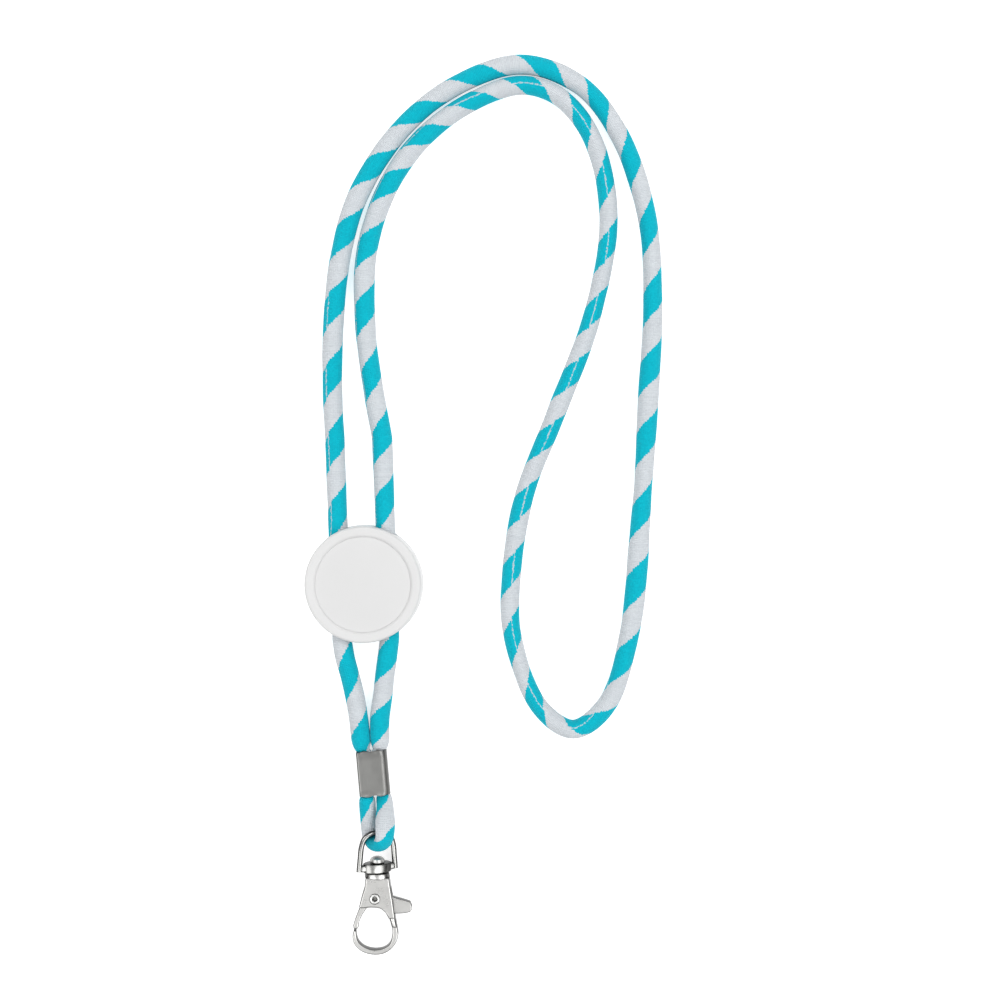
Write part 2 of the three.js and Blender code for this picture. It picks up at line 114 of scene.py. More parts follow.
class Finish:
    """A material's node sheet."""

    def __init__(self, name, tree=None):
        if tree is None:
            self.material = bpy.data.materials.new(name)
            self.material.use_nodes = True
            tree = self.material.node_tree
        self.tree = tree
        tree.nodes.clear()

    def node(self, kind, settings=None, inputs=None, output=0):
        made = self.tree.nodes.new(kind)
        for key, value in (settings or {}).items():
            setattr(made, key, value)
        for key, value in (inputs or {}).items():
            if isinstance(value, Signal):
                self.tree.links.new(value.socket, made.inputs[key])
            else:
                made.inputs[key].default_value = value
        return Signal(self, made.outputs[output])

    def place(self, output="Object"):
        return self.node("ShaderNodeTexCoord", output=output)

    def noise(self, vector, scale, detail=2.0):
        inputs = {"Vector": vector, "Scale": scale, "Detail": detail}
        return self.node("ShaderNodeTexNoise", {}, inputs)

    def between(self, low, high, value):
        """0 at low, 1 at high, smooth between."""
        settings = {"interpolation_type": "SMOOTHSTEP"}
        return self.node("ShaderNodeMapRange", settings, {0: value, 1: low, 2: high})

    def blend(self, factor, first, second):
        settings = {"data_type": "RGBA"}
        inputs = {0: factor, 6: first, 7: second}
        return self.node("ShaderNodeMix", settings, inputs, output=2)

    def bump(self, height, distance):
        inputs = {"Height": height, "Distance": distance, "Strength": 1.0}
        return self.node("ShaderNodeBump", {}, inputs)

    def surface(self, **inputs):
        named = {key.replace("_", " "): value for key, value in inputs.items()}
        shade = self.node("ShaderNodeBsdfPrincipled", {}, named)
        end = self.tree.nodes.new("ShaderNodeOutputMaterial")
        self.tree.links.new(shade.socket, end.inputs["Surface"])
        return self.material


def rgb(red, green, blue):
    """A colour given as it looks on a screen, 0 to 255."""
    def linear(part):
        part /= 255
        return part / 12.92 if part <= 0.04045 else ((part + 0.055) / 1.055) ** 2.4
    return (linear(red), linear(green), linear(blue), 1.0)


world = bpy.data.worlds.new("studio")
world.use_nodes = True
bpy.context.scene.world = world
sky = Finish("studio", world.node_tree)
up = sky.node("ShaderNodeSeparateXYZ", {}, {0: sky.place("Generated")}, output=2)
level = SKY_LOW + (SKY_HIGH - SKY_LOW) * sky.between(0.05, 0.75, up)
glow = sky.node("ShaderNodeBackground", {}, {"Strength": level})
world_out = world.node_tree.nodes.new("ShaderNodeOutputWorld")
world.node_tree.links.new(glow.socket, world_out.inputs["Surface"])


def piece_from(name, form, material, smooth_angle=35, at=Matrix()):
    """Turn a form in millimetres into an object; edges sharper than the angle stay crisp."""
    form.transform(Matrix.Scale(MM, 4) @ at)
    bmesh.ops.recalc_face_normals(form, faces=form.faces)
    limit = math.radians(smooth_angle)
    for face in form.faces:
        face.smooth = len(face.verts) < 7  # a face with many corners is a flat cut
    for edge in form.edges:
        edge.smooth = len(edge.link_faces) == 2 and edge.calc_face_angle(0) < limit
    mesh = bpy.data.meshes.new(name)
    form.to_mesh(mesh)
    form.free()
    # How squarely each corner faces up; metal_paint reads it to paint shade on side walls.
    facing = mesh.attributes.new("facing", "FLOAT", "CORNER")
    facing.data.foreach_set("value", [abs(normal.vector.z) for normal in mesh.corner_normals])
    made = bpy.data.objects.new(name, mesh)
    bpy.context.collection.objects.link(made)
    if material:
        mesh.materials.append(material)
    return made


table_paint = Finish("table_top")
grain = table_paint.noise(table_paint.place(), 60.0, 4.0)
table_top = table_paint.surface(
    Base_Color=table_paint.blend(grain, (*[c * 0.985 for c in TABLE_TINT], 1), (*TABLE_TINT, 1)),
    Roughness=0.9,
    Emission_Color=(1, 1, 1, 1),
    Emission_Strength=TABLE_GLOW,
)
table_form = bmesh.new()
bmesh.ops.create_grid(table_form, x_segments=1, y_segments=1, size=TABLE_SIDE / 2 / MM)
table = piece_from("table", table_form, table_top)

# Neck cord: a soft knitted polyester tube with a spiral print, a thin unprinted seam, and both
# ends pinched flat in the crimp. One length, about 0.91 m, lying in a loose double loop.
CORD_R = 2.85
CORD_SIDES = 40
RING_STEP = 0.56
CRIMP_TOP = Vector((2.19, -3.33, 2.95))
CRIMP_TURN = math.radians(5.1)
CRIMP_LONG = 13.5
DOWN = Vector((math.sin(CRIMP_TURN), -math.cos(CRIMP_TURN), 0))
ASIDE = Vector((math.cos(CRIMP_TURN), math.sin(CRIMP_TURN), 0))
BADGE_TURN = math.atan(0.036)
BADGE_Y = 47.5
STRAND_ASIDE = 7.2  # from the badge's middle to either strand
STRAND_Z = 4.6  # the strands' height in the badge
LIE = 3.05  # the cord's height on the table
FLAT_WIDE, FLAT_HIGH = 1.72, 1.5  # half sizes of a cord end pressed in the crimp


def crimp_end(side, start, spacing, down):
    return start + ASIDE * side * spacing / 2 + DOWN * down


def strand(side, y):
    across = side * STRAND_ASIDE / math.cos(BADGE_TURN)
    return Vector((across - (y - BADGE_Y) * math.tan(BADGE_TURN), y, STRAND_Z))


OUTER = [(-9.6, 105), (-9.4, 126), (-7.1, 147.8), (-1.7, 166.2), (11.0, 185.7), (27.0, 198.8),
         (47.7, 205.8), (65.7, 199.6), (77.7, 184.6), (86.1, 160), (88.0, 134), (86.6, 103.6),
         (84.4, 68.5), (80.8, 31.9), (73.8, 10.5), (63.8, 3.2), (53.6, 9.9), (45.2, 31.9)]
INNER = [(44.9, 50.2), (48.9, 74.6), (58.3, 99), (69.6, 129.5), (74.5, 160), (69.2, 184),
         (59.1, 196.2), (47.8, 199.5), (32.8, 194.5), (18.4, 184), (7.7, 169.4), (0.9, 149.3),
         (0.4, 126), (3.1, 105)]
neck_route = [
    crimp_end(-1, CRIMP_TOP, 3.9, 2.2),
    crimp_end(-1, CRIMP_TOP, 3.95, 0.6),
    crimp_end(-1, CRIMP_TOP, 5.3, -1.6),
    Vector((-1.7, 6.5, LIE)),
    Vector((-2.9, 13.6, LIE + 0.15)),
    Vector((-4.3, 19.7, LIE + 0.65)),
    Vector((-5.75, 25.3, STRAND_Z - 0.25)),
    *[strand(-1, y) for y in (31, 32.5, 89.5, 91.5)],
    *[Vector((x, y, LIE)) for x, y in OUTER + INNER],
    *[strand(1, y) for y in (91.5, 89.5, 32.5, 31)],
    Vector((7.15, 25.3, STRAND_Z - 0.25)),
    Vector((6.35, 19.7, LIE + 0.65)),
    Vector((5.7, 13.6, LIE + 0.15)),
    Vector((4.77, 6.5, LIE)),
    crimp_end(1, CRIMP_TOP, 5.3, -1.6),
    crimp_end(1, CRIMP_TOP, 3.95, 0.6),
    crimp_end(1, CRIMP_TOP, 3.9, 2.2),
]


def smooth_line(points, step, closed=False):
    """Even points along a centripetal curve through the given points."""
    points = [Vector(p) for p in points]
    if closed:
        run = [points[-1], *points, points[0], points[1]]
    else:
        run = [2 * points[0] - points[1], *points, 2 * points[-1] - points[-2]]
    fine = []
    for p0, p1, p2, p3 in zip(run, run[1:], run[2:], run[3:]):
        t1 = (p1 - p0).length ** 0.5
        t2 = t1 + (p2 - p1).length ** 0.5
        t3 = t2 + (p3 - p2).length ** 0.5
        count = max(8, int((p2 - p1).length / step * 3))
        for i in range(count):
            t = t1 + (t2 - t1) * i / count
            a1 = p0.lerp(p1, t / t1)
            a2 = p1.lerp(p2, (t - t1) / (t2 - t1))
            a3 = p2.lerp(p3, (t - t2) / (t3 - t2))
            b1 = a1.lerp(a2, t / t2)
            b2 = a2.lerp(a3, (t - t1) / (t3 - t1))
            fine.append(b1.lerp(b2, (t - t1) / (t2 - t1)))
    fine.append(points[0] if closed else points[-1])
    run_length = [0.0]
    for a, b in zip(fine, fine[1:]):
        run_length.append(run_length[-1] + (b - a).length)
    count = round(run_length[-1] / step)
    even, k = [], 0
    for i in range(count + 1):
        s = run_length[-1] * i / count
        while k < len(fine) - 2 and run_length[k + 1] < s:
            k += 1
        span = run_length[k + 1] - run_length[k]
        even.append(fine[k].lerp(fine[k + 1], (s - run_length[k]) / span))
    return even[:-1] if closed else even


def follow(knots, s):
    """The value at s on straight lines between (place, value) knots."""
    for (s0, v0), (s1, v1) in zip(knots, knots[1:]):
        if s <= s1:
            return v0 + (v1 - v0) * (s - s0) / (s1 - s0)
    return knots[-1][1]


def knitted_tube(name, route, step, upward, halves, top, seam, print_count, twist, material):
    """A closed tube of rings along a route, with its knit and print laid out in UV maps.

    halves(s, whole) gives half width and half height, top(s) the angle that faces up, and
    seam(s) the seam's angle; print_count(s) counts the printed bands at the top.
    """
    centres = smooth_line(route, step)
    whole = sum((b - a).length for a, b in zip(centres, centres[1:]))
    form = bmesh.new()
    knit_map = form.loops.layers.uv.new("knit")
    print_map = form.loops.layers.uv.new("print")
    rings, notes = [], []
    s = 0.0
    for i, centre in enumerate(centres):
        if i:
            s += (centre - centres[i - 1]).length
        after = centres[min(i + 1, len(centres) - 1)]
        before = centres[max(i - 1, 0)]
        along = (after - before).normalized()
        side = along.cross(upward).normalized()
        rise = side.cross(along)
        half_wide, half_high = halves(s, whole)
        start = seam(s)
        ring = []
        for j in range(CORD_SIDES):
            a = math.radians(start + 360 * j / CORD_SIDES)
            out = side * half_wide * math.sin(a) + rise * half_high * math.cos(a)
            ring.append(form.verts.new(centre + out))
        rings.append(ring)
        notes.append((s, start, print_count(s), top(s)))
    for i in range(len(rings) - 1):
        for j in range(CORD_SIDES):
            k = (j + 1) % CORD_SIDES
            corners = [(i, j, j), (i, k, j + 1), (i + 1, k, j + 1), (i + 1, j, j)]
            face = form.faces.new([rings[r][c] for r, c, _ in corners])
            for loop, (r, _, step_round) in zip(face.loops, corners):
                at, start, count, face_up = notes[r]
                turn = step_round / CORD_SIDES
                angle = start + 360 * turn - face_up
                loop[knit_map].uv = (turn, at * MM)
                loop[print_map].uv = (turn, count - twist * angle / 360)
    for ring in (rings[0], rings[-1]):
        cap = form.faces.new(ring)
        bmesh.ops.poke(form, faces=[cap])
    return piece_from(name, form, material, 60), centres


# The knit's wales round the tube, the height of a course, the print and its colours.
WALES = 30
COURSE = 0.52
PRINT_PERIOD = 21.0
PRINT_SOFT = 0.006  # of a period, the bleed at a band's edge
PRINT_FRAY = 0.014  # of a period, from stitch to stitch
PRINT_TWIST = 0.965  # periods that the print climbs in one turn round the tube
SEAM_WIDTH = 0.3
SEAM_WAVER = 0.34
TEAL = rgb(0, 172, 189)
TEAL_DEEP = rgb(0, 158, 178)
YARN = rgb(196, 201, 205)
YARN_SHADE = rgb(184, 189, 194)


def cord_paint():
    paint = Finish("knitted_print")
    knit_u = paint.node("ShaderNodeUVMap", {"uv_map": "knit"})
    print_u = paint.node("ShaderNodeUVMap", {"uv_map": "print"})
    split = "ShaderNodeSeparateXYZ"
    turn = paint.node(split, {}, {0: knit_u}, output=0)
    along = paint.node(split, {}, {0: knit_u}, output=1) * (1 / MM)
    count = paint.node(split, {}, {0: print_u}, output=1)
    wale = turn * WALES
    course = along / COURSE
    wale_cell = wale.math("FLOOR")
    course_cell = course.math("FLOOR")
    cell = paint.node("ShaderNodeCombineXYZ", {}, {0: wale_cell, 1: course_cell})
    stitch = paint.node("ShaderNodeTexWhiteNoise", {}, {"Vector": cell})
    # The print's edge steps from stitch to stitch.
    across_step = wale_cell + 0.5 - wale
    along_step = course_cell + 0.5 - course
    stepped = count + along_step * (COURSE / PRINT_PERIOD) - across_step * (1 / WALES)
    jagged = count * 0.35 + stepped * 0.65 + (stitch - 0.5) * PRINT_FRAY
    inside = jagged.math("FRACT")
    rising = paint.between(0.0, PRINT_SOFT, inside)
    band = rising * (1 - paint.between(0.5 - PRINT_SOFT, 0.5, inside))
    # Unprinted seam: a thin wavering line at the start of the turn.
    reach = (turn.math("ADD", 0.5).math("FRACT") - 0.5).math("ABSOLUTE") * (2 * math.pi * CORD_R)
    waver = (stitch - 0.5) * SEAM_WAVER
    bare = reach + waver < SEAM_WIDTH / 2
    printed = band * (1 - bare * 0.75)
    patch_at = paint.node("ShaderNodeCombineXYZ", {}, {0: turn * 18.0, 1: along})
    patch = paint.noise(patch_at, 0.9, 3.0)
    shade = stitch * 0.5 + patch * 0.5
    teal = paint.blend(shade, TEAL_DEEP, TEAL)
    rib = (along * (2 * math.pi / COURSE)).math("SINE")
    row_at = paint.node("ShaderNodeCombineXYZ", {}, {1: course_cell})
    row = paint.node("ShaderNodeTexWhiteNoise", {}, {"Vector": row_at})
    yarn_mix = paint.between(0.0, 1.0, rib * 0.18 + row * 0.27 + stitch * 0.22 + patch * 0.4)
    yarn = paint.blend(yarn_mix, YARN_SHADE, YARN)
    # Each stitch is a small rounded bump, ribbed along the wales.
    wale_rib = (turn * (2 * math.pi * WALES)).math("SINE")
    height = rib * 0.5 + wale_rib * 0.25 + stitch * 0.35 + patch * 0.8
    return paint.surface(
        Base_Color=paint.blend(printed, yarn, teal),
        Roughness=0.86 - 0.08 * printed,
        Sheen_Weight=0.05,
        Sheen_Roughness=0.5,
        Specular_IOR_Level=0.1,
        Normal=paint.bump(height, 0.00009),
    )


fabric = cord_paint()

# How slack the tube lies, how its seam turns, and where its printed bands come, from the start.
NECK_SLACK = [(0, 2.95), (100, 2.95), (125, 3.1), (165, 3.15), (200, 3.0), (250, 3.0), (264, 2.8),
              (290, 3.0), (315, 2.75), (350, 3.15), (362, 3.15), (384, 2.75), (408, 3.2),
              (420, 3.15), (444, 2.85), (456, 3.0), (492, 2.6), (516, 2.9), (540, 2.95),
              (552, 2.75), (576, 2.95), (612, 2.65), (636, 2.8), (684, 2.85), (720, 3.0),
              (768, 3.2), (792, 3.05), (816, 3.1), (840, 3.0), (914, 3.0)]
NECK_SEAM = [(0, -125), (45, -115), (70, -36), (138, -34), (165, -105), (440, -250), (452, -320),
             (465, -345), (490, -352), (560, -354), (640, -360), (697, -356), (722, -315),
             (745, -302), (800, -298), (914, -285)]
NECK_BANDS = [(0, 0.1), (3.2, 0.25), (24.4, 1.25), (73.3, 3.25), (115, 5.25), (180.3, 8.25),
              (244.8, 11.25), (284.5, 13.25), (370.3, 17.25), (414.5, 19.25), (461.3, 21.25),
              (522.3, 24.25), (605, 28.25), (685.5, 32.25), (740, 35.25), (799.8, 38.25),
              (839, 40.25), (885.7, 42.25), (906.4, 43.25), (916, 43.75)]
PINCH_LEAD = 2.6  # extra cord at each end, inside the crimp
PINCH_GROW = 4.6  # the length over which the cord swells out of the crimp


def pinch(gap):
    """1 on the free cord, 0 inside the crimp, by distance from the end."""
    t = min(1.0, max(0.0, (gap - PINCH_LEAD) / PINCH_GROW))
    return math.sqrt(t * (2 - t))


def neck_halves(s, whole):
    slack = follow(NECK_SLACK, s - PINCH_LEAD) + 0.05 * math.sin(s * 0.31) * math.sin(s * 0.173)
    free = pinch(min(s, whole - s))
    high = 2.85 - 0.5 * (slack - 2.85)
    return FLAT_WIDE + (slack - FLAT_WIDE) * free, FLAT_HIGH + (high - FLAT_HIGH) * free


neck_cord, neck_line = knitted_tube(
    "knitted_neck_cord", neck_route, RING_STEP, Vector((0, 0, 1)), neck_halves, lambda s: 0.0,
    lambda s: follow(NECK_SEAM, s - PINCH_LEAD), lambda s: follow(NECK_BANDS, s - PINCH_LEAD),
    PRINT_TWIST, fabric,
)
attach(neck_cord, "lanyard")
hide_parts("neck_cord")
[p * MM for p in neck_line[::4]] + [neck_line[-1] * MM]

# Ring loop: a short doubled length of the same tube from the crimp round the bail's top wire,
# drawn flat where it bends, its right strand lying on top.
CRIMP_BOTTOM = CRIMP_TOP + DOWN * CRIMP_LONG
BIGHT = CRIMP_BOTTOM + Vector((0.81, -11.17, 2.35))
LOOP_TWIST = math.radians(48)
LOOP_ACROSS = Vector((math.cos(LOOP_TWIST), 0, math.sin(LOOP_TWIST)))
LOOP_NORMAL = Vector((-math.sin(LOOP_TWIST), 0, math.cos(LOOP_TWIST)))
LOOP_BEND = 3.65
LOOP_STEP = 0.45
LOOP_SEAM = 160.0  # the seam lies underneath
LOOP_HALF = 2.5  # half width and half height where the loop leaves the crimp
loop_route = [crimp_end(-1, CRIMP_BOTTOM, 3.9, -1.8), crimp_end(-1, CRIMP_BOTTOM, 4.1, -0.3),
              crimp_end(-1, CRIMP_BOTTOM, 5.2, 1.8)]
for degrees in (180, 205, 230, 255, 285, 310, 335, 360):
    a = math.radians(degrees)
    offset = LOOP_ACROSS * LOOP_BEND * math.cos(a) + Vector((0, LOOP_BEND * math.sin(a), 0))
    loop_route.append(BIGHT + offset)
loop_route += [crimp_end(1, CRIMP_BOTTOM, 5.2, 1.8), crimp_end(1, CRIMP_BOTTOM, 4.1, -0.3),
               crimp_end(1, CRIMP_BOTTOM, 3.9, -1.8)]
LOOP_BANDS = [(0, 0.1), (7.7, 0.5), (24.3, 1.5), (32.1, 2.0), (37, 2.25)]
LOOP_TOP = [(0, 0), (3, -20), (9, -48), (13, -48), (24, 48), (28, 48), (34, 20), (37, 0)]


def loop_halves(s, whole):
    """The right strand lies on top and fuller; the bend is drawn narrow on the wire."""
    gap = min(s, whole - s)
    free = min(1.0, max(0.0, (gap - 1.8) / 2.4))
    free = math.sqrt(free * (2 - free))
    thin = min(1.0, max(0.0, (gap - 4.0) / 8.0))
    thin = thin * thin * (3 - 2 * thin)
    upper = s / whole
    drawn = 0.45 * math.sin(math.pi * upper) ** 6
    wide_free = LOOP_HALF + (0.6 * upper - 0.25) * thin - drawn
    high_free = LOOP_HALF + (1.02 * upper - 0.05) * thin
    return (FLAT_WIDE + (wide_free - FLAT_WIDE) * free,
            FLAT_HIGH + (high_free - FLAT_HIGH) * free)


ring_loop, loop_line = knitted_tube(
    "knitted_ring_loop", loop_route, LOOP_STEP, LOOP_NORMAL, loop_halves,
    lambda s: follow(LOOP_TOP, s), lambda s: LOOP_SEAM, lambda s: follow(LOOP_BANDS, s), PRINT_TWIST,
    fabric,
)
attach(ring_loop, "lanyard")
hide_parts("ring_loop_cord")
loop_line[0] * MM
[p * MM for p in loop_line[::3]]


# Cord tails: the four cord ends lie flattened inside the crimp, the same knit pressed hard.
def pressed_knit():
    paint = Finish("pressed_knit")
    at = paint.place()
    weave = paint.noise(at, 2200.0, 3.0)
    colour = paint.blend(weave, YARN_SHADE, YARN)
    return paint.surface(Base_Color=colour, Roughness=0.9, Normal=paint.bump(weave, 0.0001))


pressed = pressed_knit()
for tail in ("cord_tail_left", "cord_tail_right"):
    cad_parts[tail].data.materials.clear()
    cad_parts[tail].data.materials.append(pressed)


# Badge: a white ABS front cap snapped by four pegs onto a back plate, with a blank vinyl print
# disc in its recess. The two strands run through arched channels in the cap.
BADGE_R = 18.0
BADGE_RIM_R = 17.65
CAP_LOW = 1.8
CAP_TOP = 9.65
RIM_ROUND = 0.9
RECESS_R = 14.4
RECESS_FLOOR = 8.5
DISC_R = 14.37
DISC_LOW = 8.8
DISC_TOP = 9.25
PLATE_HIGH = 1.5
ARCH_R = 3.45
ARCH_HIGH = 7.7
PEG_R = 1.3
SOCKET_R = 1.6
PEG_PLACES = [(0, 12), (0, -12), (13.3, 0), (-13.3, 0)]
BADGE_AT = Matrix.Translation((0, BADGE_Y, 0)) @ Matrix.Rotation(BADGE_TURN, 4, "Z")
ABS_WHITE = rgb(204, 204, 204)
ABS_SHADE = rgb(194, 194, 194)
VINYL = rgb(200, 200, 200)


def arc(x, y, radius, first, last, steps):
    """Points on an arc, in degrees from +X."""
    turns = [math.radians(first + (last - first) * i / steps) for i in range(steps + 1)]
    return [(x + radius * math.cos(a), y + radius * math.sin(a)) for a in turns]


def turned(profile, steps=144, axis="Z"):
    """A closed body spun from (radius, height) points that start and end on the axis."""
    form = bmesh.new()
    points = [form.verts.new((r, 0, h)) for r, h in profile]
    edges = [form.edges.new(pair) for pair in zip(points, points[1:])]
    bmesh.ops.spin(form, geom=points + edges, cent=(0, 0, 0), axis=(0, 0, 1),
                   angle=2 * math.pi, steps=steps, use_merge=True)
    bmesh.ops.remove_doubles(form, verts=form.verts, dist=1e-4)
    if axis == "Y":
        bmesh.ops.rotate(form, verts=form.verts, matrix=Matrix.Rotation(math.radians(-90), 3, "X"))
    bmesh.ops.recalc_face_normals(form, faces=form.faces)
    return form


def bar(radius, low, high, x=0.0, y=0.0, sides=48):
    """An upright round bar."""
    form = bmesh.new()
    at = Matrix.Translation((x, y, (low + high) / 2))
    bmesh.ops.create_cone(form, cap_ends=True, segments=sides, radius1=radius, radius2=radius,
                          depth=high - low, matrix=at)
    return form


def block(wide, deep, high, x=0.0, y=0.0, z=0.0):
    form = bmesh.new()
    at = Matrix.Translation((x, y, z)) @ Matrix.Diagonal((wide, deep, high, 1))
    bmesh.ops.create_cube(form, size=1.0, matrix=at)
    return form


def combined(form, other, kind="DIFFERENCE"):
    """The first form with the other cut from it, or joined to it."""
    made = []
    for part in (form, other):
        bmesh.ops.recalc_face_normals(part, faces=part.faces)
        mesh = bpy.data.meshes.new("part")
        part.to_mesh(mesh)
        part.free()
        holder = bpy.data.objects.new("part", mesh)
        bpy.context.collection.objects.link(holder)
        made.append(holder)
    cut = made[0].modifiers.new("cut", "BOOLEAN")
    cut.operation = kind
    cut.solver = "EXACT"
    cut.object = made[1]
    graph = bpy.context.evaluated_depsgraph_get()
    result = bmesh.new()
    result.from_object(made[0], graph)
    for holder in made:
        bpy.data.meshes.remove(holder.data)
    return result


cap_form = turned(
    [(0, CAP_LOW), (BADGE_R, CAP_LOW)]
    + arc(BADGE_RIM_R - RIM_ROUND, CAP_TOP - RIM_ROUND, RIM_ROUND, 0, 90, 7)
    + [(RECESS_R + 0.85, CAP_TOP), (RECESS_R + 0.7, CAP_TOP - 0.03), (RECESS_R + 0.35, CAP_TOP - 0.2),
       (RECESS_R + 0.1, DISC_TOP - 0.02), (RECESS_R, DISC_TOP - 0.08), (RECESS_R, RECESS_FLOOR),
       (0, RECESS_FLOOR)],
    steps=180,
)
for side in (-1, 1):
    arch = bmesh.new()
    arch_at = Matrix.Translation((side * STRAND_ASIDE, 20, ARCH_HIGH - ARCH_R))
    bmesh.ops.create_circle(arch, cap_ends=True, radius=ARCH_R, segments=48,
                            matrix=arch_at @ Matrix.Rotation(math.radians(90), 4, "X"))
    bottom = [v for v in arch.verts if v.co.z < ARCH_HIGH - ARCH_R - 0.1]
    bmesh.ops.translate(arch, verts=bottom, vec=(0, 0, -6))
    run = bmesh.ops.extrude_face_region(arch, geom=list(arch.faces))["geom"]
    far = [v for v in run if isinstance(v, bmesh.types.BMVert)]
    bmesh.ops.translate(arch, verts=far, vec=(0, -40, 0))
    cap_form = combined(cap_form, arch)
for x, y in PEG_PLACES:
    cap_form = combined(cap_form, bar(SOCKET_R, -1, 7.4, x, y, 24))

plate_form = turned(
    [(0, 0), (BADGE_R - 0.4, 0), *arc(BADGE_R - 0.4, 0.4, 0.4, -90, 0, 4),
     *arc(BADGE_R - 0.15, PLATE_HIGH - 0.15, 0.15, 0, 90, 3), (0, PLATE_HIGH)],
    steps=180,
)
for x, y in PEG_PLACES:
    plate_form = combined(plate_form, bar(PEG_R, 0.8, 7.1, x, y, 24), "UNION")

disc_form = turned(
    [(0, DISC_LOW), (DISC_R, DISC_LOW),
     *arc(DISC_R - 0.1, DISC_TOP - 0.1, 0.1, 0, 90, 3), (0, DISC_TOP)],
    steps=180,
)


def moulded_paint(name, light, dark, rough):
    paint = Finish(name)
    at = paint.place()
    flow = paint.noise(at, 55.0, 2.0)
    fine = paint.noise(at, 2600.0, 2.0)
    return paint.surface(
        Base_Color=paint.blend(flow * 0.7 + fine * 0.3, dark, light),
        Roughness=rough + 0.1 * (fine - 0.5),
        Specular_IOR_Level=0.35,
        Normal=paint.bump(fine + flow * 0.5, 0.00002),
    )


abs_white = moulded_paint("moulded_abs", ABS_WHITE, ABS_SHADE, 0.42)
print_vinyl = moulded_paint("print_vinyl", VINYL, ABS_SHADE, 0.5)
badge_pieces = [
    ("moulded_front_cap", cap_form, abs_white, "badge_front_cap", "badge_abs"),
    ("blank_print_disc", disc_form, print_vinyl, "badge_print_disc", "print_vinyl"),
    ("moulded_back_plate", plate_form, abs_white, "badge_back_plate", "badge_abs"),
]
for name, form, paint, node, finish in badge_pieces:
    made = piece_from(name, form, paint, 40, BADGE_AT)
    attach(made, "badge")
    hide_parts(node)


# Crimp: a strip of plated sheet steel folded round the four flattened cord ends and pressed
# shut, its butt seam on the back and its two mouths flared where the cords swell out.
CRIMP_WIDE = 9.3
CRIMP_DEEP = 5.0
CRIMP_SHEET = 0.6
CRIMP_BEND = 2.1  # right side bend; the left one is tighter
CRIMP_TIGHT = 0.68
CRIMP_SEAM = 0.5
CRIMP_STEPS = 36
MOUTH_REACH = 1.7  # how far in the mouths' flare begins
MOUTH_RISE = {-1: 0.42, 1: 0.24}  # the flare's height at the lower and the upper mouth
LOBE_SPAN = 4.1  # from one cord's bulge in the mouth to the next
STEEL = rgb(156, 156, 154)
STEEL_DARK = rgb(144, 144, 142)

crimp_form = bmesh.new()
half_wide, half_deep = CRIMP_WIDE / 2, CRIMP_DEEP / 2
corner_x, corner_z = half_wide - CRIMP_BEND, half_deep - CRIMP_BEND
right_side = (
    [(CRIMP_SEAM / 2, -half_deep), (corner_x / 2, -half_deep)]
    + arc(corner_x, -corner_z, CRIMP_BEND, -90, 0, 6)
    + arc(corner_x, corner_z, CRIMP_BEND, 0, 90, 6)
)
tight_x, tight_z = half_wide - CRIMP_TIGHT, half_deep - CRIMP_TIGHT
left_side = (
    [(-CRIMP_SEAM / 2, -half_deep), (-tight_x / 2, -half_deep)]
    + arc(-tight_x, -tight_z, CRIMP_TIGHT, -90, -180, 5)
    + arc(-tight_x, tight_z, CRIMP_TIGHT, 180, 90, 5)
)
front = [(-tight_x + (tight_x + corner_x) * i / 12, half_deep) for i in range(11, 0, -1)]
section = right_side + front + left_side[::-1]
line = [crimp_form.verts.new((x, CRIMP_LONG / 2, z)) for x, z in section]
edges = [crimp_form.edges.new(pair) for pair in zip(line, line[1:])]
for _ in range(CRIMP_STEPS):
    grown = bmesh.ops.extrude_edge_only(crimp_form, edges=edges)["geom"]
    edges = [e for e in grown if isinstance(e, bmesh.types.BMEdge)]
    moved = [v for v in grown if isinstance(v, bmesh.types.BMVert)]
    bmesh.ops.translate(crimp_form, verts=moved, vec=(0, -CRIMP_LONG / CRIMP_STEPS, 0))
for vert in crimp_form.verts:
    x, y, z = vert.co
    lobes = math.cos(2 * math.pi * x / LOBE_SPAN + math.pi) * 0.5 + 0.5
    for end in (-1, 1):
        near = max(0.0, 1 - (CRIMP_LONG / 2 - end * y) / MOUTH_REACH) ** 1.6
        if z > corner_z:
            vert.co.z += near * MOUTH_RISE[end] * (0.25 + 0.75 * lobes)
            vert.co.y += end * near * (0.32 * lobes - 0.12)
bmesh.ops.recalc_face_normals(crimp_form, faces=crimp_form.faces)
top_face = max(crimp_form.faces, key=lambda f: f.calc_center_median().z)
if top_face.normal.z < 0:
    bmesh.ops.reverse_faces(crimp_form, faces=crimp_form.faces)
bmesh.ops.solidify(crimp_form, geom=list(crimp_form.faces), thickness=CRIMP_SHEET)
rims = [e for e in crimp_form.edges if e.calc_face_angle(0) > math.radians(60)]
bmesh.ops.bevel(crimp_form, geom=rims, offset=0.12, segments=2, profile=0.5, affect="EDGES",
                material=-1, clamp_overlap=True)
crimp_middle = CRIMP_TOP + DOWN * CRIMP_LONG / 2
CRIMP_AT = Matrix.Translation(crimp_middle) @ Matrix.Rotation(CRIMP_TURN, 4, "Z")


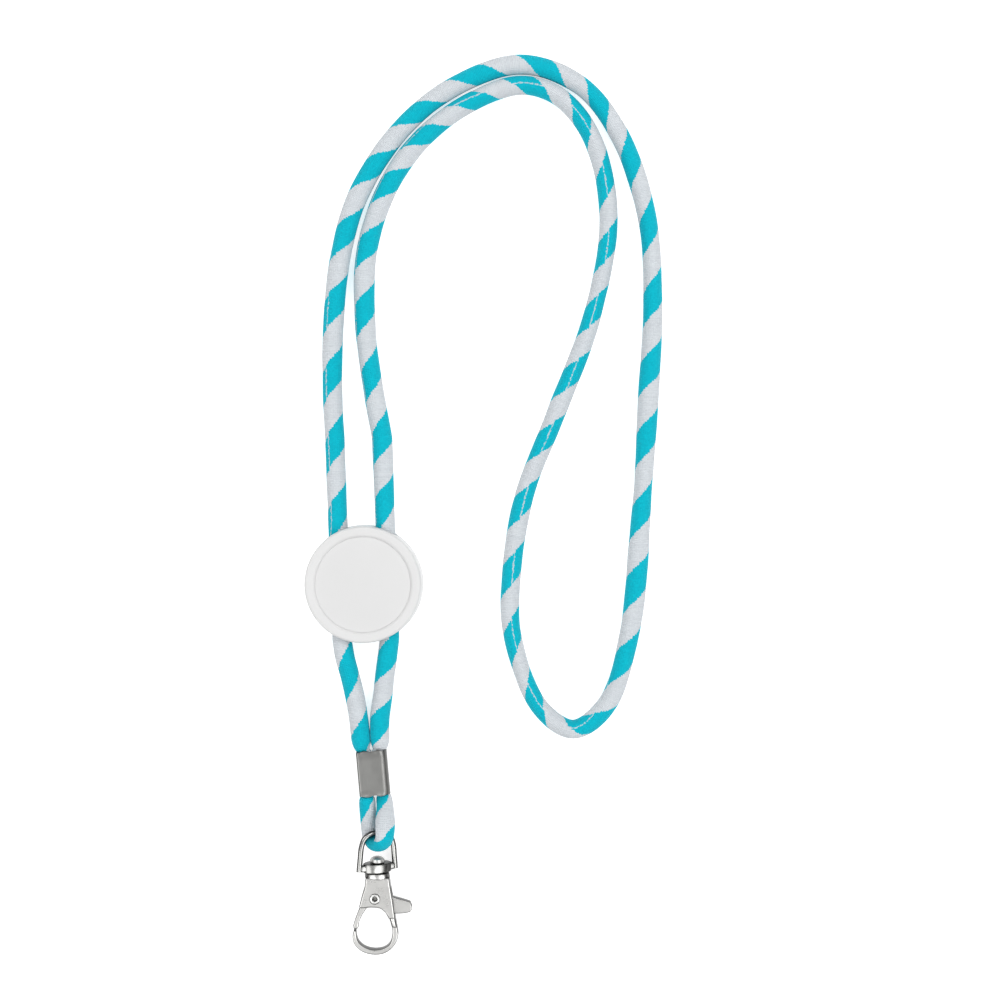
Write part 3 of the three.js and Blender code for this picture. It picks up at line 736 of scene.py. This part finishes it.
def metal_paint(name, light, dark, rough, painted_side_shade=0.3, brushed=(1, 1, 1), wall=0.55, painted_end_shade=None):
    """Plated metal with a fine grain, drawn out along one axis where it was brushed.

    Painted shade: the side walls, from a slope of wall on, are painted darker than the broad
    faces by the side-shade factor. An end-shade span (direction, from, to) paints shade over one
    end as well.
    """
    paint = Finish(name)
    facing = paint.node("ShaderNodeAttribute", {"attribute_name": "facing"}, {}, output=2)
    # Painted shade: faces turned away from straight up blend towards a darker colour.
    unshaded_share = paint.between(wall, 0.985, facing)
    # Painted shade over one end of the piece, along a given direction.
    if painted_end_shade:
        along = paint.node("ShaderNodeVectorMath", {"operation": "DOT_PRODUCT"},
                           {0: paint.place(), 1: painted_end_shade[0]}, output=1)
        unshaded_share = unshaded_share * (1 - 0.55 * paint.between(painted_end_shade[1], painted_end_shade[2], along))
    scaled = paint.node("ShaderNodeVectorMath", {"operation": "MULTIPLY"},
                        {0: paint.place(), 1: brushed})
    fine = paint.noise(scaled, 2400.0, 3.0)
    broad = paint.noise(paint.place(), 260.0, 3.0)
    # The painted shade colour of the side walls.
    side_shade_colour = tuple(part * painted_side_shade for part in dark[:3]) + (1.0,)
    face = paint.blend(broad * 0.6 + fine * 0.4, dark, light)
    return paint.surface(
        Base_Color=paint.blend(unshaded_share, side_shade_colour, face),
        Metallic=1.0,
        Roughness=rough + 0.16 * (broad - 0.5) + 0.1 * (fine - 0.5),
        Normal=paint.bump(fine * 0.3 + broad * 0.8, 0.00003),
    )


# Painted shade darkens the crimp towards its upper mouth, over the last 3.2 mm.
mouth_at = (CRIMP_TOP * MM).dot(-DOWN)
plated_steel = metal_paint("plated_steel", STEEL, STEEL_DARK, 0.34, 0.42, (1.0, 0.12, 1.0),
                           painted_end_shade=(tuple(-DOWN), mouth_at - 0.0032, mouth_at))
crimp = piece_from("folded_crimp", crimp_form, plated_steel, 50, CRIMP_AT)
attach(crimp, "lanyard")
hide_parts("crimp")


# Bail: a nickel-plated stirrup of round wire, cast in one with the barrel that the hook's
# swivel pin turns in.
BAIL_HALF = 5.5
BAIL_LONG = 10.7
WIRE_R = 0.84
BARREL_R = 4.5
BARREL_FLAT = 0.62
BARREL_HIGH = 2.7
NICKEL = rgb(204, 203, 201)
NICKEL_DARK = rgb(186, 186, 184)
CLASP_AT = (
    Matrix.Translation(BIGHT)
    @ Matrix.Rotation(math.radians(-0.76), 4, "Z")
    @ Matrix.Rotation(math.radians(5.8), 4, "X")
)
BAIL_AT = CLASP_AT @ Matrix.Rotation(math.radians(24), 4, "Y")
HOOK_AT = CLASP_AT @ Matrix.Translation((0, -12.35, 0))
nickel = metal_paint("nickel_plate", NICKEL, NICKEL_DARK, 0.3, 0.2, wall=0.68)
# Painted shade: the bail and its barrel, nickel plated like the hook, get a darker copy of the plate
# colour so they look shaded.
SHADED_NICKEL, SHADED_NICKEL_DARK = rgb(172, 172, 170), rgb(150, 150, 148)
PIN_LIGHT, PIN_SHADE = rgb(205, 205, 203), rgb(188, 188, 186)
shaded_wire_nickel = metal_paint("shaded_nickel", SHADED_NICKEL, SHADED_NICKEL_DARK, 0.24, 0.1)
pin_nickel = metal_paint("pin_nickel", PIN_LIGHT, PIN_SHADE, 0.34, 0.75)


def wire(points, radius, sides=20):
    """A round wire with closed ends along a line of points."""
    curve = bpy.data.curves.new("wire", "CURVE")
    curve.dimensions = "3D"
    curve.bevel_depth = radius
    curve.bevel_resolution = sides // 4
    curve.use_fill_caps = True
    spline = curve.splines.new("POLY")
    spline.points.add(len(points) - 1)
    for target, p in zip(spline.points, points):
        target.co = (*p, 1)
    holder = bpy.data.objects.new("wire", curve)
    bpy.context.collection.objects.link(holder)
    graph = bpy.context.evaluated_depsgraph_get()
    mesh = bpy.data.meshes.new_from_object(holder.evaluated_get(graph))
    form = bmesh.new()
    form.from_mesh(mesh)
    bpy.data.meshes.remove(mesh)
    bpy.data.curves.remove(curve)
    bmesh.ops.remove_doubles(form, verts=form.verts, dist=1e-4)
    bmesh.ops.recalc_face_normals(form, faces=form.faces)
    return form


half_arch = [(1.06, -BAIL_LONG - 0.9), (1.05, -BAIL_LONG), (1.0, -BAIL_LONG * 0.7), (0.93, -4.0),
             (0.76, -1.6), (0.42, -0.35)]
arch_points = (
    [(-BAIL_HALF * x, y, 0) for x, y in half_arch]
    + [(0, 0, 0)]
    + [(BAIL_HALF * x, y, 0) for x, y in reversed(half_arch)]
)
bail_form = wire(smooth_line(arch_points, 0.35), WIRE_R)
barrel = turned(
    [(0, -BARREL_HIGH / 2)]
    + arc(BARREL_R - 0.35, 0.35 - BARREL_HIGH / 2, 0.35, -90, 0, 4)
    + arc(BARREL_R - 0.3, BARREL_HIGH / 2 - 0.3, 0.3, 0, 90, 4)
    + [(0, BARREL_HIGH / 2)],
    steps=72, axis="Y",
)
bmesh.ops.scale(barrel, verts=barrel.verts, vec=(1, 1, BARREL_FLAT))
bmesh.ops.translate(barrel, verts=barrel.verts, vec=(0, -BAIL_LONG, 0))
shoulder = block(2 * BAIL_HALF, 1.9, 2.3, 0, -BAIL_LONG, 0)
bmesh.ops.bevel(shoulder, geom=list(shoulder.edges), offset=0.5, segments=4, profile=0.5,
                affect="EDGES", material=-1)
bail_form = combined(combined(bail_form, shoulder, "UNION"), barrel, "UNION")
bore = turned([(0, -4), (1.5, -4), (1.5, 4), (0, 4)], 32, "Y")
bmesh.ops.translate(bore, verts=bore.verts, vec=(0, -BAIL_LONG, 0))
bail_form = combined(bail_form, bore)
bail = piece_from("wire_bail", bail_form, shaded_wire_nickel, 40, BAIL_AT)
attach(bail, "bail")
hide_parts("bail")


# Swivel pin: a domed nickel pin through the barrel, seated in the hook's head.
PIN_R = 1.2
DOME_R = 2.3
PIN_LOW = -12.35 - 2.9
DOME_LOW = -BAIL_LONG + BARREL_HIGH / 2 + 0.3
DOME_HIGH = 1.8
dome_side = [(DOME_R * math.cos(a), DOME_LOW + 0.3 + (DOME_HIGH - 0.3) * math.sin(a))
             for a in (math.radians(10 * i) for i in range(10))]
pin_form = turned([(0, PIN_LOW), (PIN_R, PIN_LOW), (PIN_R, DOME_LOW), (DOME_R - 0.15, DOME_LOW),
                   *dome_side[:-1], (0, DOME_LOW + DOME_HIGH)], 64, "Y")
pin = piece_from("domed_swivel_pin", pin_form, pin_nickel, 40, CLASP_AT)
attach(pin, "hook")
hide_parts("swivel_pin")


# Hook frame: one zinc casting, nickel plated: round collar and head, slotted body, and an open
# ring whose gap the gate closes.
BODY_THICK = 4.6
ARM_THICK = 3.5
RING_THICK = 2.8
SLOT_HALF = 1.45
SLOT_TOP = -4.24
SLOT_LOW = -12.85
PIVOT = (-0.52, -7.69)
HEAD_FLAT = 0.72

left_edge = [(-3.4, -1.2), (-3.7, -4.15), (-4.5, -6.95), (-5.3, -10.25)]
eye_top = [(-5.1, -10.6), (-4.2, -10.7), (-1.9, -10.45), (1.2, -10.75), (2.8, -12.05)]
eye_side = [(2.8, -12.05), (4.0, -14.45), (4.75, -17.15), (4.8, -19.25), (4.1, -21.85),
            (2.5, -23.35), (-0.3, -23.95), (-3.3, -23.35), (-5.2, -21.85), (-6.05, -19.85),
            (-6.2, -18)]
outside = [(-6.9, -17.8), (-7.3, -20.05), (-6.6, -22.55), (-4.3, -24.6), (-0.6, -25.5),
           (2.8, -24.85), (5.5, -22.45), (6.6, -19.45), (6.3, -16.85), (5.5, -12.85)]
right_edge = [(5.5, -12.85), (4.9, -8.45), (4.25, -4.65), (3.75, -1.2)]


def curved(points, step=0.45):
    """Points along a smooth line through a flat outline's points."""
    return [(p.x, p.y) for p in smooth_line([(x, y, 0) for x, y in points], step)]


def plate(points, thick, rounding, segments=4):
    """A flat casting of an outline, its edges rounded."""
    form = bmesh.new()
    tidy = [p for p, q in zip(points, points[1:] + points[:1]) if math.dist(p, q) > 0.02]
    face = form.faces.new([form.verts.new((x, y, -thick / 2)) for x, y in tidy])
    grown = bmesh.ops.extrude_face_region(form, geom=[face])["geom"]
    lifted = [v for v in grown if isinstance(v, bmesh.types.BMVert)]
    bmesh.ops.translate(form, verts=lifted, vec=(0, 0, thick))
    rims = [e for e in form.edges if abs(e.verts[0].co.z - e.verts[1].co.z) < 1e-6]
    bmesh.ops.bevel(form, geom=rims, offset=rounding, segments=segments, profile=0.5,
                    affect="EDGES", material=-1, clamp_overlap=True)
    bmesh.ops.recalc_face_normals(form, faces=form.faces)
    return form


body_line = (curved(left_edge) + curved(eye_top) + [(3.75, -13.85), (5.65, -13.85)]
             + curved(right_edge))
arm_line = [(1.6, -10.65), (2.8, -12.05), (4.0, -14.45), (4.72, -16.95), (6.3, -16.95),
            (5.9, -14.85), (5.5, -12.85), (5.2, -10.65)]
ring_line = [(1.6, -10.65)] + curved(eye_side) + curved(outside) + [(5.2, -10.65)]
hook_form = plate(body_line, BODY_THICK, 0.7)
hook_form = combined(hook_form, plate(arm_line, ARM_THICK, 0.8), "UNION")
hook_form = combined(hook_form, plate(ring_line, RING_THICK, 0.9), "UNION")
head = turned(
    [(0, -4.3), (2.9, -4.3), (3.05, -1.8), *arc(3.4, -1.35, 0.35, -70, 0, 4),
     *arc(3.4, -0.35, 0.35, 0, 90, 4), (0, 0)],
    72, "Y",
)
bmesh.ops.scale(head, verts=head.verts, vec=(1, 1, HEAD_FLAT))
hook_form = combined(hook_form, head, "UNION")
slot_cut = block(24, SLOT_TOP - SLOT_LOW, 2 * SLOT_HALF, 0, (SLOT_TOP + SLOT_LOW) / 2, 0)
hook_form = combined(hook_form, slot_cut)
hook_form = combined(hook_form, turned([(0, -3.2), (1.5, -3.2), (1.5, 1), (0, 1)], 32, "Y"))
hook_form = combined(hook_form, bar(1.25, -4, 4, *PIVOT, 32))
for low, high in ((1.8, 4), (-4, -1.8)):
    hook_form = combined(hook_form, bar(1.7, low, high, *PIVOT, 48))
hook = piece_from("cast_hook", hook_form, nickel, 32, HOOK_AT)
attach(hook, "hook")
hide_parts("hook_frame")


# Gate lever: thumb tab, hub and gate in one casting, turning on a tubular rivet under a small
# torsion spring.
LEVER_THICK = 2.3
lever_line = (
    curved([(-7.0, -17.4), (-5.75, -17.4), (-5.3, -15.25), (-4.3, -12.95), (-3.1, -11.05)])
    + curved([(-3.1, -11.05), (-1.4, -10.25), (1.6, -10.15), (3.4, -11.35), (5.3, -12.6)])
    + curved([(5.3, -12.6), (8.2, -12.4), (10.35, -11.85), (10.8, -10.55), (10.2, -8.95)])
    + curved([(10.2, -8.95), (7.6, -8.15), (5.0, -7.45), (2.6, -6.25), (0.6, -5.2)])
    + curved([(0.6, -5.2), (-1.2, -5.1), (-2.9, -6.15), (-3.9, -8.25), (-4.9, -10.15)])
    + curved([(-4.9, -10.15), (-5.6, -11.85), (-6.6, -14.65), (-7.15, -16.55)])
)
lever_form = plate(lever_line, LEVER_THICK, 0.35)
lever_form = combined(lever_form, bar(1.25, -4, 4, *PIVOT, 32))
lever_form = combined(lever_form, bar(2.05, 0.15, 4, *PIVOT, 48))
lever = piece_from("cast_gate_lever", lever_form, nickel, 32, HOOK_AT)
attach(lever, "lever")
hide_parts("gate_lever")

rivet_form = turned(
    [(0, -2.48), (1.25, -2.48), (1.4, -2.33), (1.4, -1.98), (0.95, -1.98), (0.95, 1.98),
     (1.5, 1.98), *arc(1.32, 2.3, 0.18, 0, 90, 3), *arc(1.0, 2.28, 0.2, 90, 180, 4),
     (0.78, -1.2), (0, -1.3)],
    48,
)
rivet_at = HOOK_AT @ Matrix.Translation((*PIVOT, 0))
# Painted highlight: the rivet gets a lighter copy of the nickel plate colour, standing in for the
# light on its rolled rim.
RIVET_LIGHT, RIVET_SHADE = rgb(236, 236, 234), rgb(214, 214, 212)
lit_rivet_nickel = metal_paint("lit_rivet_nickel", RIVET_LIGHT, RIVET_SHADE, 0.3, 0.7)
rivet = piece_from("tubular_rivet", rivet_form, lit_rivet_nickel, 40, rivet_at)
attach(rivet, "hook")
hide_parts("lever_rivet")

SPRING_R = 1.6
SPRING_PITCH = 0.42
COIL_STEPS = 48
coil = []
for i in range(76):
    a = 2 * math.pi * i / COIL_STEPS
    coil.append((SPRING_R * math.cos(a), SPRING_R * math.sin(a), 0.5 + SPRING_PITCH * i / COIL_STEPS))
SPRING_LIGHT, SPRING_SHADE = rgb(150, 152, 155), rgb(128, 130, 134)
spring_steel = metal_paint("spring_steel", SPRING_LIGHT, SPRING_SHADE, 0.3)
spring = piece_from("torsion_spring", wire(coil, 0.15, 12), spring_steel, 40, rivet_at)
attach(spring, "hook")
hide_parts("lever_spring")
